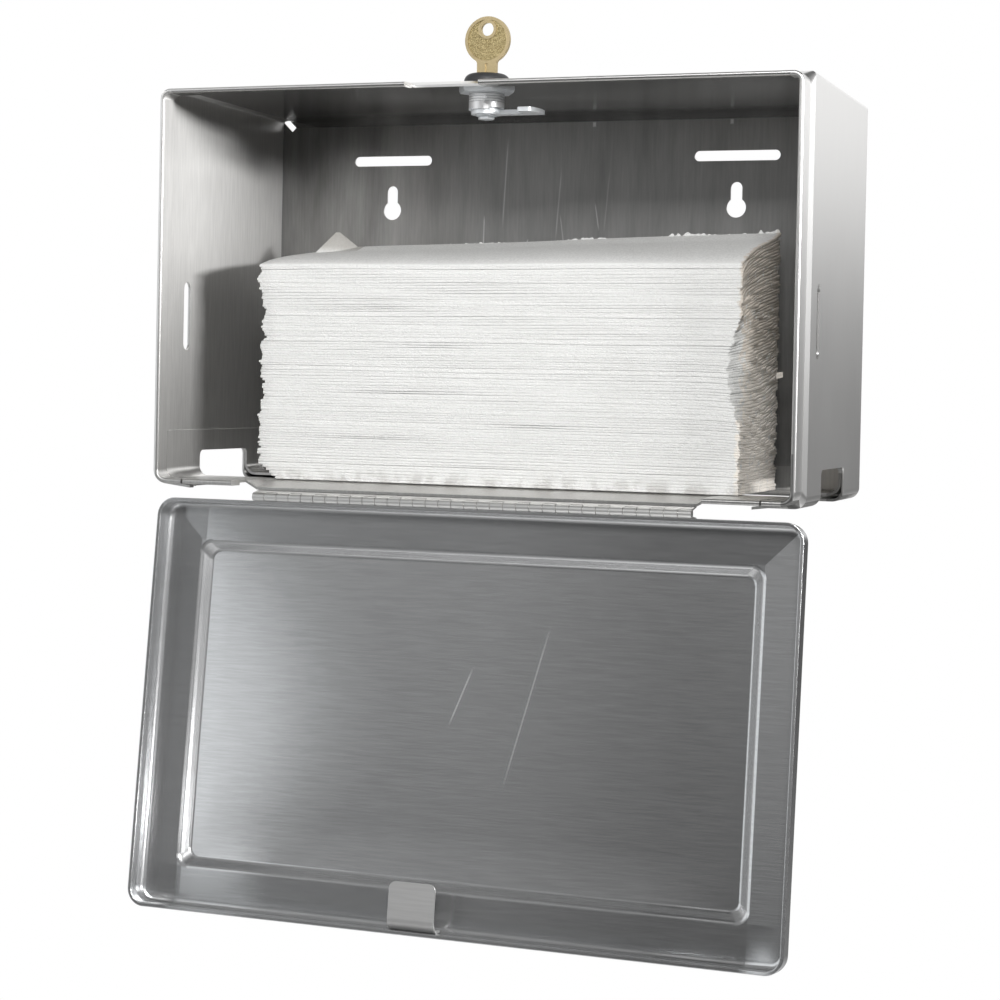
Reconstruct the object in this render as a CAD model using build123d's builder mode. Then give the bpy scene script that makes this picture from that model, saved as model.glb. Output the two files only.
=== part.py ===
"""Wall cabinet for folded paper towels, with a drop-down door and a cam lock. Millimetres.

X runs to the right, Y into the wall and Z up. The origin lies on the wall, midway between
the two keyholes. The door hangs open, the key is in the lock and the cam is turned aside.
"""

import os
from math import acos, atan2, cos, degrees, hypot, radians, sin, sqrt, tan

from build123d import *

# Cabinet sheet and outline
cabinet_width = 316.0
cabinet_height = 192.0
cabinet_depth = 139.0
cabinet_sheet = 1.2
edge_radius = 5.5
roof_edge_radius = 2.0
back_edge_radius = 1.6
top_above_keyholes = 49.0
cut_overrun = 2.0

# Front rim: the walls step in, run forward as a lip and fold back on themselves in a hem
joggle_step = 1.6
joggle_run = 3.0
lip_depth = 13.0
lip_corner_radius = 6.5
lip_roof_corner_radius = 5.0
hem_return = 9.0
nose_radius = 1.0
lip_end_from_side = 16.5
bottom_return = 14.0

# Thin tails of the rim that hang below the two lower corners
tail_root_from_side = 7.0
tail_tip_from_side = 21.0
tail_depth = 5.0
tail_droop = 1.7

# Wall fixings in the back
keyhole_spacing = 186.0
keyhole_radius = 5.0
keyhole_neck = 6.0
keyhole_reach = 12.8
wall_slot_length = 44.0
wall_slot_width = 5.2
wall_slot_above_keyholes = 26.0
relief_length = 8.0
relief_width = 3.2
relief_from_side = 4.4
relief_from_edge = 2.6

# Sight slots in the sides
sight_slot_length = 33.4
sight_slot_width = 6.4
sight_slot_from_nose = 32.0
sight_slot_below_keyholes = 60.2

# Dispensing slot across the floor and up into both sides
slot_front_from_nose = 46.0
slot_back_from_nose = 98.0
notch_height = 16.5
notch_corner_radius = 3.0

# Floor pan
pan_gap = 0.1
pan_flange_height = 24.0
pan_bend_radius = 6.0
pan_rear_flange = 12.0
seat_back_from_nose = 32.0
seat_front_behind_axis = 4.6
seat_margin = 0.6
seat_ramp = 6.0
seat_gap = 0.1
seat_crease = 0.05
bar_gap = 1.0

# Door
door_sheet = 0.9
door_side_reveal = 0.7
door_top_reveal = 0.9
door_bottom_reveal = 1.6
door_nose_gap = 0.8
door_flange_depth = 12.4
door_corner_radius = 8.5
door_edge_radius = 4.0
door_hem_return = 5.0
door_hem_edge_radius = 0.4
panel_margin = 19.3
panel_raise = 4.0
panel_corner_radius = 5.0
panel_bend_radius = 2.2
door_open_angle = 172.8

# Continuous hinge
knuckle_count = 34
knuckle_pitch = 6.35
knuckle_gap = 0.15
knuckle_radius = 2.0
hinge_pin_radius = 1.1
hinge_running_gap = 0.05
knuckle_clearance = 0.35
leaf_sheet = 0.9
leaf_width = 8.2
leaf_gap = 0.05

# Strike on the door
strike_width = 22.6
strike_centre = -13.5
strike_length = 22.0
strike_leg = 9.0
strike_sheet = 1.0
strike_bend_radius = 4.5
strike_corner_radius = 3.4
strike_gap = 0.05
strike_notch_left = 30.0
strike_notch_right = 6.0

# Lock
lock_from_nose = 28.2
barrel_radius = 8.3
barrel_below_top = 11.4
barrel_hole_gap = 0.1
barrel_head_radius = 9.6
barrel_head_height = 2.0
bezel_radius = 10.7
bezel_height = 4.6
bezel_crown_radius = 7.4
bezel_mouth_radius = 6.5
bezel_gap = 0.1
nut_across_flats = 24.0
nut_thickness = 3.0
nut_chamfer = 1.1
nut_gap = 0.05
plug_radius = 6.15
plug_running_gap = 0.05
plug_head_radius = 7.4
plug_head_height = 1.0
plug_head_gap = 0.1
plug_below_crown = 0.6
plug_tail_width = 6.8
tail_fit_gap = 0.05
stop_thickness = 0.8
stop_gap = 0.05
stop_lug_angle = 60.0
stop_slack_angle = 4.0
lock_turn_angle = 90.0

# Wafers in the plug
wafer_count = 5
wafer_pitch = 2.0
wafer_first_above_tail = 2.4
wafer_thickness = 0.8
wafer_length = 10.8
wafer_width = 5.0
wafer_slack = 0.1

# Cam and its screw
cam_thickness = 2.0
cam_hub_radius = 7.2
cam_reach = 27.6
cam_arm_near = 1.7
cam_arm_far = 4.5
cam_hook_length = 11.0
cam_strike_play = 0.3
cam_corner_radius = 1.2
cam_washer_radius = 4.8
cam_washer_thickness = 0.6
cam_screw_across_flats = 7.0
cam_screw_head = 1.5
cam_screw_radius = 1.95
cam_screw_grip = 3.0

# Key
key_thickness = 2.2
key_blade_width = 8.2
key_way_slack = 0.2
key_bottom_gap = 0.4
key_blade_floor = 1.0
key_shoulder_gap = 0.1
key_neck_width = 9.6
key_neck_fillet = 2.0
key_bow_radius = 11.0
key_bow_above_top = 20.5
key_bow_rim = 1.5
key_field_depth = 0.35
key_ring_hole_radius = 3.1
key_ring_hole_above_bow = 5.0
key_groove_width = 1.4
key_groove_depth = 0.5
key_cut_count = 4
key_cut_radius = 0.9

# Stack of folded towels
stack_width = 240.0
stack_centre = 4.0
stack_depth = 76.0
stack_front_from_nose = 30.0
stack_front_height = 103.0
stack_rear_rise_left = 12.0
stack_rear_rise_right = 19.0
stack_gap = 0.3
stack_fold_radius = 5.0

# Levels and places that follow from the sizes above
wall = Plane.XZ
cabinet_top = top_above_keyholes
cabinet_bottom = cabinet_top - cabinet_height
middle_height = (cabinet_top + cabinet_bottom) / 2
half_width = cabinet_width / 2
nose_y = -cabinet_depth
body_depth = cabinet_depth - lip_depth - joggle_run
lip_start = cabinet_depth - lip_depth
lip_bottom = cabinet_bottom + joggle_step
floor_under = lip_bottom + cabinet_sheet
floor_top = floor_under + cabinet_sheet
roof_under = cabinet_top - cabinet_sheet

hinge_length = knuckle_count * knuckle_pitch
door_width = cabinet_width + 2 * door_side_reveal
door_height = cabinet_height + door_top_reveal + door_bottom_reveal
hinge_y = nose_y - door_nose_gap - door_sheet + door_flange_depth
hinge_z = cabinet_bottom - door_bottom_reveal - knuckle_radius
lock_y = nose_y + lock_from_nose

# Slope of the hinge seat: its underside is tangent to the knuckles and meets the floor behind
seat_rise = floor_under - seat_gap - hinge_z
seat_run = nose_y + seat_back_from_nose - hinge_y
seat_slope = acos(knuckle_radius / hypot(seat_rise, seat_run)) - atan2(seat_run, seat_rise)


def rim_face(inset, from_wall, radius, roof_radius):
    """Outline of the cabinet, drawn in by inset, at a distance from the wall."""
    with BuildSketch(wall.offset(from_wall)) as face:
        with Locations((0, middle_height)):
            Rectangle(cabinet_width - 2 * inset, cabinet_height - 2 * inset)
        fillet(face.vertices().group_by(Axis.Y)[-1], roof_radius)
        fillet(face.vertices().group_by(Axis.Y)[0], radius)
    return face.sketch


def side_view(width):
    """Plane that looks along X, placed half a width to the left, for shapes that run across."""
    return Plane(origin=(-width / 2, 0, 0), x_dir=(0, 1, 0), z_dir=(1, 0, 0))


def slot_face():
    """Dispensing slot seen from the side: the floor opening with its notch in the walls."""
    slot_depth = slot_back_from_nose - slot_front_from_nose
    slot_middle = nose_y + (slot_back_from_nose + slot_front_from_nose) / 2
    slot_bottom = cabinet_bottom - tail_droop - cut_overrun
    with BuildSketch(side_view(cabinet_width + 2 * cut_overrun)) as face:
        with Locations((slot_middle, slot_bottom)):
            Rectangle(
                slot_depth,
                cabinet_bottom + notch_height - slot_bottom,
                align=(Align.CENTER, Align.MIN),
            )
        fillet(face.vertices().group_by(Axis.Y)[-1], notch_corner_radius)
    return face.sketch


# Cabinet shell: back, roof and sides in one bent sheet
with BuildPart() as cabinet_shell:
    extrude(rim_face(0, 0, edge_radius, roof_edge_radius), amount=body_depth)
    fillet(cabinet_shell.faces().sort_by(Axis.Y)[-1].edges(), back_edge_radius)
    loft(
        [
            rim_face(0, body_depth, edge_radius, roof_edge_radius),
            rim_face(joggle_step, lip_start, lip_corner_radius, lip_roof_corner_radius),
        ]
    )
    extrude(
        rim_face(joggle_step, lip_start, lip_corner_radius, lip_roof_corner_radius),
        amount=lip_depth,
    )
    extrude(
        rim_face(
            cabinet_sheet,
            cabinet_sheet,
            edge_radius - cabinet_sheet,
            roof_edge_radius - cabinet_sheet,
        ),
        amount=body_depth - cabinet_sheet,
        mode=Mode.SUBTRACT,
    )
    lip_inside = rim_face(
        joggle_step + cabinet_sheet,
        lip_start,
        lip_corner_radius - cabinet_sheet,
        lip_roof_corner_radius - cabinet_sheet,
    )
    loft(
        [
            rim_face(
                cabinet_sheet,
                body_depth,
                edge_radius - cabinet_sheet,
                roof_edge_radius - cabinet_sheet,
            ),
            lip_inside,
        ],
        mode=Mode.SUBTRACT,
    )
    extrude(lip_inside, amount=lip_depth - hem_return, mode=Mode.SUBTRACT)
    extrude(
        rim_face(
            joggle_step + 2 * cabinet_sheet,
            cabinet_depth - hem_return,
            lip_corner_radius - 2 * cabinet_sheet,
            lip_roof_corner_radius - 2 * cabinet_sheet,
        ),
        amount=hem_return,
        mode=Mode.SUBTRACT,
    )
    fillet(cabinet_shell.faces().sort_by(Axis.Y)[0].edges(), nose_radius)

    # The floor is left open, apart from a return along each side and the rim at the corners
    with BuildSketch(Plane.XY.offset(cabinet_bottom - cut_overrun)):
        with Locations((0, -cabinet_sheet)):
            Rectangle(
                cabinet_width - 2 * bottom_return,
                body_depth - cabinet_sheet,
                align=(Align.CENTER, Align.MAX),
            )
    extrude(amount=cut_overrun + cabinet_sheet, mode=Mode.SUBTRACT)
    with BuildSketch(Plane.XY.offset(cabinet_bottom - cut_overrun)):
        with Locations((0, -body_depth)):
            Rectangle(
                cabinet_width - 2 * lip_end_from_side,
                lip_depth + joggle_run + cut_overrun,
                align=(Align.CENTER, Align.MAX),
            )
    extrude(amount=floor_top + cut_overrun - cabinet_bottom, mode=Mode.SUBTRACT)

    # Tails of the rim at the lower corners
    with BuildSketch(wall.offset(cabinet_depth - tail_depth)):
        with BuildLine():
            Polyline(
                (half_width - tail_root_from_side, lip_bottom),
                (half_width - tail_tip_from_side, lip_bottom - tail_droop),
                (half_width - tail_tip_from_side, lip_bottom - tail_droop + cabinet_sheet),
                (half_width - tail_root_from_side, lip_bottom + cabinet_sheet),
                close=True,
            )
        make_face()
        mirror(about=Plane.YZ)
    extrude(amount=tail_depth - nose_radius)

    # Dispensing slot and sight slots through both sides
    extrude(slot_face(), amount=cabinet_width + 2 * cut_overrun, mode=Mode.SUBTRACT)
    with BuildSketch(side_view(cabinet_width + 2 * cut_overrun)):
        with Locations((nose_y + sight_slot_from_nose, -sight_slot_below_keyholes)):
            SlotOverall(sight_slot_length, sight_slot_width, rotation=90)
    extrude(amount=cabinet_width + 2 * cut_overrun, mode=Mode.SUBTRACT)

    # Keyholes, wall slots and corner reliefs in the back
    neck_end = keyhole_reach - keyhole_neck / 2
    with BuildSketch(wall):
        with GridLocations(keyhole_spacing, 0, 2, 1):
            Circle(keyhole_radius)
            SlotCenterPoint((0, neck_end / 2), (0, neck_end), height=keyhole_neck)
        with Locations((0, wall_slot_above_keyholes)):
            with GridLocations(keyhole_spacing, 0, 2, 1):
                SlotOverall(wall_slot_length, wall_slot_width)
        for side in (-1, 1):
            with Locations(
                (side * (half_width - relief_from_side), cabinet_top - relief_from_edge)
            ):
                Rectangle(relief_length, relief_width, rotation=side * 45)
    extrude(amount=cabinet_sheet, mode=Mode.SUBTRACT)
    with BuildSketch(Plane.XY.offset(roof_under)):
        for side in (-1, 1):
            with Locations((side * (half_width - relief_from_side), -relief_from_edge)):
                Rectangle(relief_length, relief_width, rotation=side * 45)
        with Locations((0, lock_y)):
            Circle(barrel_radius + barrel_hole_gap)
    extrude(amount=cabinet_sheet, mode=Mode.SUBTRACT)

    # Gap in the top lip that the strike swings through
    with BuildSketch(Plane.XY.offset(cabinet_top - joggle_step - 2 * cabinet_sheet - cut_overrun)):
        with Locations((-strike_notch_left, nose_y - cut_overrun)):
            Rectangle(
                strike_notch_left + strike_notch_right,
                lip_depth + cut_overrun,
                align=(Align.MIN, Align.MIN),
            )
    extrude(amount=joggle_step + 2 * cabinet_sheet + 2 * cut_overrun, mode=Mode.SUBTRACT)
cabinet_shell.part.label = "cabinet_shell"


# Floor pan: floor, end flanges against the sides, front bar with its hem, sloped hinge seat
pan_half = half_width - cabinet_sheet - pan_gap
seat_half = hinge_length / 2 + seat_margin
bar_inner = seat_half + seat_ramp
bar_outer = half_width - lip_end_from_side - bar_gap
seat_front_drop = seat_rise - (
    knuckle_radius / cos(seat_slope) + seat_front_behind_axis * tan(seat_slope)
)


def pan_face(inset, base, bend, from_wall):
    """Section of the pan, solid between its upturned ends, with rounded lower corners."""
    with BuildSketch(wall.offset(from_wall)) as face:
        with Locations((0, base)):
            Rectangle(2 * (pan_half - inset), pan_flange_height, align=(Align.CENTER, Align.MIN))
        fillet(face.vertices().group_by(Axis.Y)[0], bend)
    return face.sketch


def pan_length(inset, base, bend, mode):
    """The pan from the back to the hem of the rim, stepping in with the walls of the cabinet."""
    start = cabinet_sheet + pan_gap
    stepped = inset + joggle_step
    lip_face = pan_face(stepped, base, bend, lip_start)
    extrude(pan_face(inset, base, bend, start), amount=body_depth - start, mode=mode)
    loft([pan_face(inset, base, bend, body_depth), lip_face], mode=mode)
    extrude(lip_face, amount=lip_depth - hem_return - pan_gap, mode=mode)


def seat_face(from_wall, drop):
    """Section of the hinge seat: a strip whose middle lies lower by drop, with ramped ends."""
    with BuildSketch(wall.offset(from_wall)) as face:
        with BuildLine():
            Polyline(
                (-bar_inner, floor_top),
                (-seat_half, floor_top - drop),
                (seat_half, floor_top - drop),
                (bar_inner, floor_top),
                (bar_inner, floor_under),
                (seat_half, floor_under - drop),
                (-seat_half, floor_under - drop),
                (-bar_inner, floor_under),
                close=True,
            )
        make_face()
    return face.sketch


with BuildPart() as bottom_pan:
    pan_length(0, floor_under, pan_bend_radius, Mode.ADD)
    pan_length(cabinet_sheet, floor_top, pan_bend_radius - cabinet_sheet, Mode.SUBTRACT)
    with BuildSketch(wall.offset(cabinet_sheet + pan_gap)):
        with Locations((0, floor_under)):
            Rectangle(
                2 * (pan_half - pan_bend_radius),
                pan_rear_flange,
                align=(Align.CENTER, Align.MIN),
            )
    extrude(amount=cabinet_sheet)

    # Room for the hinge seat, and for the returns of the rim at the corners
    with BuildSketch(Plane.XY.offset(floor_under - cut_overrun)):
        with Locations((0, nose_y)):
            Rectangle(2 * bar_inner, seat_back_from_nose, align=(Align.CENTER, Align.MIN))
        for side in (Align.MIN, Align.MAX):
            edge = bar_outer if side == Align.MIN else -bar_outer
            with Locations((edge, nose_y)):
                Rectangle(
                    half_width - bar_outer - edge_radius,
                    lip_depth + joggle_run,
                    align=(side, Align.MIN),
                )
    extrude(amount=cut_overrun + cabinet_sheet, mode=Mode.SUBTRACT)

    # Bars of the front edge, folded back under themselves
    with BuildSketch(Plane.XY.offset(floor_under)):
        for side in (Align.MIN, Align.MAX):
            edge = bar_inner if side == Align.MIN else -bar_inner
            with Locations((edge, nose_y)):
                Rectangle(bar_outer - bar_inner, seat_back_from_nose, align=(side, Align.MIN))
    extrude(amount=cabinet_sheet)
    with BuildSketch(Plane.XY.offset(lip_bottom)):
        for side in (Align.MIN, Align.MAX):
            edge = bar_inner if side == Align.MIN else -bar_inner
            with Locations((edge, nose_y)):
                Rectangle(bar_outer - bar_inner, hem_return, align=(side, Align.MIN))
    extrude(amount=cabinet_sheet)
    fillet(
        bottom_pan.edges().filter_by(Axis.X).group_by(Axis.Y)[0], nose_radius
    )

    # Seat that slopes down to the hinge, with ramps up to the bars
    loft(
        [
            seat_face(cabinet_depth - seat_back_from_nose, seat_crease),
            seat_face(-hinge_y - seat_front_behind_axis, seat_front_drop),
        ],
        ruled=True,
    )
    extrude(slot_face(), amount=cabinet_width + 2 * cut_overrun, mode=Mode.SUBTRACT)
bottom_pan.part.label = "bottom_pan"


# Continuous hinge, whose knuckles belong to the cabinet and to the door by turns
hinge_axis = Plane(origin=(0, hinge_y, hinge_z), x_dir=(0, 1, 0), z_dir=(1, 0, 0))
knuckle_length = knuckle_pitch - 2 * knuckle_gap


def knuckle_planes(turn):
    """Planes at the start of every second knuckle, beginning with the given one."""
    return [
        hinge_axis.offset(-hinge_length / 2 + number * knuckle_pitch)
        for number in range(turn, knuckle_count, 2)
    ]


def knuckle_row(turn, radius, gap):
    """Round lengths on the hinge axis, one for every second knuckle."""
    with BuildPart() as row:
        for plane in knuckle_planes(turn):
            with BuildSketch(plane.offset(gap)):
                Circle(radius)
            extrude(amount=knuckle_pitch - 2 * gap)
    return row.part


def hinge_leaf(turn, along, label):
    """One leaf of the hinge: a strip tangent to the knuckles, along a given plane."""
    with BuildPart() as leaf:
        with BuildSketch(along):
            with Locations((0, knuckle_radius - leaf_gap)):
                Rectangle(leaf_width, leaf_sheet, align=(Align.MIN, Align.MAX))
        extrude(amount=hinge_length - 2 * knuckle_gap)
        add(knuckle_row(1 - turn, knuckle_radius + knuckle_clearance, 0), mode=Mode.SUBTRACT)
        add(knuckle_row(turn, knuckle_radius, knuckle_gap))
        with BuildSketch(hinge_axis.offset(-hinge_length / 2)):
            Circle(hinge_pin_radius + hinge_running_gap)
        extrude(amount=hinge_length, mode=Mode.SUBTRACT)
    leaf.part.label = label
    return leaf.part


leaf_start = -hinge_length / 2 + knuckle_gap
cabinet_leaf_plane = Plane(
    origin=(leaf_start, hinge_y, hinge_z),
    x_dir=(0, cos(seat_slope), sin(seat_slope)),
    z_dir=(1, 0, 0),
)
hinge_cabinet_leaf = hinge_leaf(0, cabinet_leaf_plane, "hinge_cabinet_leaf")

with BuildPart() as hinge_pin:
    with BuildSketch(hinge_axis.offset(-hinge_length / 2 + knuckle_gap)):
        Circle(hinge_pin_radius)
    extrude(amount=hinge_length - 2 * knuckle_gap)
hinge_pin.part.label = "hinge_pin"


# Door frame: x across, y from the hinge to the far edge, z out through the front of the door
open_turn = radians(door_open_angle)
door_out = (0, -cos(open_turn), -sin(open_turn))
door_up = (0, -sin(open_turn), cos(open_turn))
door_plane = Plane(origin=(0, hinge_y, hinge_z), x_dir=(1, 0, 0), z_dir=door_out)
door_middle = knuckle_radius + door_height / 2
door_far = knuckle_radius + door_height
border_out = door_flange_depth
border_in = door_flange_depth - door_sheet

door_leaf_plane = Plane(origin=(leaf_start, hinge_y, hinge_z), x_dir=door_out, z_dir=(1, 0, 0))
door_leaf_side = Plane(
    origin=(-leaf_start, hinge_y, hinge_z), x_dir=door_out, z_dir=(-1, 0, 0)
)
hinge_door_leaf = hinge_leaf(1, door_leaf_side, "hinge_door_leaf")


def door_face(inset, out, radius):
    """Rounded outline of the door, drawn in by inset, at a height along its outward normal."""
    with BuildSketch(door_plane.offset(out)) as face:
        with Locations((0, door_middle)):
            RectangleRounded(door_width - 2 * inset, door_height - 2 * inset, radius)
    return face.sketch


# Door: a pan with a hemmed flange, whose middle stands out beyond its border
panel_slant = door_sheet * (sqrt(2) - 1)


def door_edges(solid, out, inset):
    """Edges of a solid at a height along the door's normal, inside the outline less inset."""

    def lies_there(edge):
        spot = door_plane.to_local_coords(edge.center())
        return (
            abs(spot.Z - out) < pan_gap
            and abs(spot.X) < door_width / 2 - inset + pan_gap
            and abs(spot.Y - door_middle) < door_height / 2 - inset + pan_gap
        )

    return solid.edges().filter_by(lies_there)


with BuildPart() as door_inside:
    extrude(door_face(door_sheet, 0, door_corner_radius - door_sheet), amount=border_in)
    fillet(door_edges(door_inside, border_in, door_sheet), door_edge_radius - door_sheet)
    loft(
        [
            door_face(panel_margin + panel_slant, border_in, panel_corner_radius),
            door_face(
                panel_margin + panel_raise + panel_slant,
                border_in + panel_raise,
                panel_corner_radius,
            ),
        ]
    )
    fillet(door_edges(door_inside, border_in, panel_margin), panel_bend_radius + door_sheet)
    fillet(door_edges(door_inside, border_in + panel_raise, 0), panel_bend_radius)

with BuildPart() as door_panel:
    extrude(door_face(0, 0, door_corner_radius), amount=border_out)
    fillet(door_edges(door_panel, border_out, 0), door_edge_radius)
    loft(
        [
            door_face(panel_margin, border_out, panel_corner_radius),
            door_face(panel_margin + panel_raise, border_out + panel_raise, panel_corner_radius),
        ]
    )
    fillet(door_edges(door_panel, border_out, panel_margin), panel_bend_radius)
    fillet(
        door_edges(door_panel, border_out + panel_raise, 0), panel_bend_radius + door_sheet
    )
    add(door_inside.part, mode=Mode.SUBTRACT)
    extrude(
        door_face(door_sheet, 0, door_corner_radius - door_sheet), amount=door_hem_return
    )
    extrude(
        door_face(2 * door_sheet, 0, door_corner_radius - 2 * door_sheet),
        amount=door_hem_return,
        mode=Mode.SUBTRACT,
    )
    fillet(door_edges(door_panel, 0, 0), door_hem_edge_radius)
door_panel.part.label = "door_panel"


# Strike: an angle bracket on the far flange, whose plate lies level with the flange's edge
strike_top = door_far - 2 * door_sheet - strike_gap
strike_left = door_plane.from_local_coords((strike_centre - strike_width / 2, 0, 0))
with BuildPart() as door_strike:
    with BuildSketch(Plane(origin=strike_left, x_dir=door_up, z_dir=(1, 0, 0))) as section:
        with BuildLine():
            Polyline(
                (strike_top - strike_length, 0),
                (strike_top, 0),
                (strike_top, strike_leg),
                (strike_top - strike_sheet, strike_leg),
                (strike_top - strike_sheet, strike_sheet),
                (strike_top - strike_length, strike_sheet),
                close=True,
            )
        make_face()
        bend = section.vertices().sort_by_distance((strike_top, 0, 0))
        fillet(bend[0], strike_bend_radius + strike_sheet)
        inner_bend = section.vertices().sort_by_distance(
            (strike_top - strike_sheet, strike_sheet, 0)
        )
        fillet(inner_bend[0], strike_bend_radius)
    extrude(amount=strike_width)
    free_corners = door_strike.edges().filter_by(Axis(origin=(0, 0, 0), direction=door_out))
    free_corners = free_corners.sort_by(Axis(origin=(0, 0, 0), direction=door_up))[0:2]
    fillet(free_corners, strike_corner_radius)
door_strike.part.label = "door_strike"


# Cam lock in the roof, drawn about its own upright axis
lock_top = cabinet_top
lock_plane = Plane(origin=(0, lock_y, 0))
barrel_bottom = lock_top - barrel_below_top
head_top = lock_top + barrel_head_height
crown_top = lock_top + bezel_height
plug_top = crown_top - plug_below_crown
stop_top = barrel_bottom - stop_gap
stop_bottom = stop_top - stop_thickness
cam_top = stop_bottom - stop_gap
cam_bottom = cam_top - cam_thickness
tail_bottom = cam_bottom + tail_fit_gap
stop_lug_inner = plug_radius + plug_head_gap + 2 * plug_running_gap


def lock_level(level):
    """Level plane on the axis of the lock."""
    return lock_plane.offset(level)


def sector_face(level, inner, outer, start, sweep):
    """Part of a ring about the lock axis, from one angle through a sweep."""
    with BuildSketch(lock_level(level)) as face:
        with BuildLine():
            near = CenterArc((0, 0), inner, start, sweep)
            far = CenterArc((0, 0), outer, start, sweep)
            Line(near @ 0, far @ 0)
            Line(near @ 1, far @ 1)
        make_face()
    return face.sketch


lug_start = -90.0 - stop_lug_angle / 2
with BuildPart() as lock_body:
    with BuildSketch(lock_level(barrel_bottom)):
        Circle(barrel_radius)
    extrude(amount=barrel_below_top)
    with BuildSketch(lock_level(lock_top)):
        Circle(barrel_head_radius)
    extrude(amount=barrel_head_height)
    with BuildSketch(lock_level(barrel_bottom)):
        Circle(plug_radius + plug_running_gap)
    extrude(amount=barrel_below_top + barrel_head_height, mode=Mode.SUBTRACT)
    with BuildSketch(lock_level(head_top - plug_head_height - plug_head_gap)):
        Circle(plug_head_radius + plug_head_gap)
    extrude(amount=plug_head_height + plug_head_gap, mode=Mode.SUBTRACT)
    extrude(
        sector_face(stop_bottom, stop_lug_inner, barrel_radius, lug_start, stop_lug_angle),
        amount=barrel_bottom - stop_bottom,
    )
lock_body.part.label = "lock_body"

# Domed bezel over the head
with BuildPart() as lock_bezel:
    with BuildSketch(Plane(origin=(0, lock_y, lock_top), x_dir=(1, 0, 0), z_dir=(0, -1, 0))):
        with BuildLine():
            inner_wall = barrel_head_radius + bezel_gap
            ceiling = barrel_head_height + bezel_gap
            skirt = Line((bezel_radius, 0), (bezel_radius, barrel_head_height / 2))
            dome = TangentArc(
                (bezel_radius, barrel_head_height / 2),
                (bezel_crown_radius, bezel_height),
                tangent=(0, 1),
            )
            Polyline(
                (bezel_crown_radius, bezel_height),
                (bezel_mouth_radius, bezel_height),
                (bezel_mouth_radius, ceiling),
                (inner_wall, ceiling),
                (inner_wall, 0),
                (bezel_radius, 0),
            )
        make_face()
    revolve(axis=Axis(origin=(0, lock_y, 0), direction=(0, 0, 1)))
lock_bezel.part.label = "lock_bezel"

# Hexagon nut under the roof
with BuildPart() as lock_nut:
    with BuildSketch(lock_level(roof_under - nut_gap - nut_thickness)):
        RegularPolygon(nut_across_flats / 2, 6, major_radius=False)
        Circle(barrel_radius + nut_gap, mode=Mode.SUBTRACT)
    extrude(amount=nut_thickness)
    hexagon_rim = lock_nut.faces().sort_by(Axis.Z)[0].edges().filter_by(GeomType.LINE)
    chamfer(hexagon_rim, nut_chamfer, nut_chamfer / 2)
lock_nut.part.label = "lock_nut"

# Plug with keyway, wafer slots, square tail and screw hole
wafer_levels = [
    barrel_bottom + wafer_first_above_tail + number * wafer_pitch for number in range(wafer_count)
]
keyway_floor = barrel_bottom + key_blade_floor
with BuildPart() as lock_plug:
    with BuildSketch(lock_level(barrel_bottom)):
        Circle(plug_radius)
    extrude(amount=plug_top - barrel_bottom)
    with BuildSketch(lock_level(head_top - plug_head_height)):
        Circle(plug_head_radius)
    extrude(amount=plug_head_height)
    with BuildSketch(lock_level(tail_bottom)):
        Rectangle(plug_tail_width, plug_tail_width)
    extrude(amount=barrel_bottom - tail_bottom)
    with BuildSketch(lock_level(keyway_floor)):
        Rectangle(key_blade_width + 2 * key_way_slack, key_thickness + 2 * key_way_slack)
    extrude(amount=plug_top - keyway_floor, mode=Mode.SUBTRACT)
    for level in wafer_levels:
        with BuildSketch(lock_level(level - wafer_slack)):
            Rectangle(wafer_length + 2 * wafer_slack, wafer_width + 2 * wafer_slack)
        extrude(amount=wafer_thickness + 2 * wafer_slack, mode=Mode.SUBTRACT)
    with BuildSketch(lock_level(tail_bottom)):
        Circle(cam_screw_radius + tail_fit_gap)
    extrude(amount=cam_screw_grip, mode=Mode.SUBTRACT)
lock_plug.part.label = "lock_plug"

# Wafers, all alike
with BuildPart() as lock_wafers:
    for level in wafer_levels:
        with BuildSketch(lock_level(level)):
            Rectangle(wafer_length, wafer_width)
            Rectangle(
                key_blade_width + 3 * key_way_slack,
                key_thickness + 3 * key_way_slack,
                mode=Mode.SUBTRACT,
            )
        extrude(amount=wafer_thickness)
lock_wafers.part.label = "lock_wafers"

# Stop washer, notched so that its ends meet the lug of the body after a quarter turn
stop_sweep = stop_lug_angle + lock_turn_angle + 2 * stop_slack_angle
square_hole = plug_tail_width + 2 * tail_fit_gap
with BuildPart() as lock_stop_washer:
    with BuildSketch(lock_level(stop_bottom)):
        Circle(barrel_radius)
        Rectangle(square_hole, square_hole, mode=Mode.SUBTRACT)
    extrude(amount=stop_thickness)
    extrude(
        sector_face(
            stop_bottom,
            stop_lug_inner - plug_head_gap,
            barrel_radius + cut_overrun,
            lug_start - stop_slack_angle,
            stop_sweep,
        ),
        amount=stop_thickness,
        mode=Mode.SUBTRACT,
    )
lock_stop_washer.part.label = "lock_stop_washer"

# Hooked cam: the arm lies to the right, and the hook swings behind the strike when locked
strike_face_y = hinge_y - strike_sheet
hook_inner = lock_y - strike_face_y + cam_strike_play
with BuildPart() as lock_cam:
    with BuildSketch(lock_level(cam_bottom)) as cam_outline:
        with Locations((0, -cam_hook_length)):
            Rectangle(cam_reach, cam_hook_length + cam_arm_far, align=(Align.MIN, Align.MIN))
        Circle(cam_reach, mode=Mode.INTERSECT)
        with Locations((0, -cam_arm_near)):
            Rectangle(hook_inner, cam_hook_length, align=(Align.MIN, Align.MAX), mode=Mode.SUBTRACT)
        hook_tips = cam_outline.vertices().filter_by(
            lambda v: v.X > hook_inner - pan_gap and v.Y < -cam_arm_near - pan_gap
        )
        fillet(hook_tips, cam_corner_radius)
        Circle(cam_hub_radius)
        Rectangle(square_hole, square_hole, mode=Mode.SUBTRACT)
    extrude(amount=cam_thickness)
lock_cam.part.label = "lock_cam"

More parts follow.
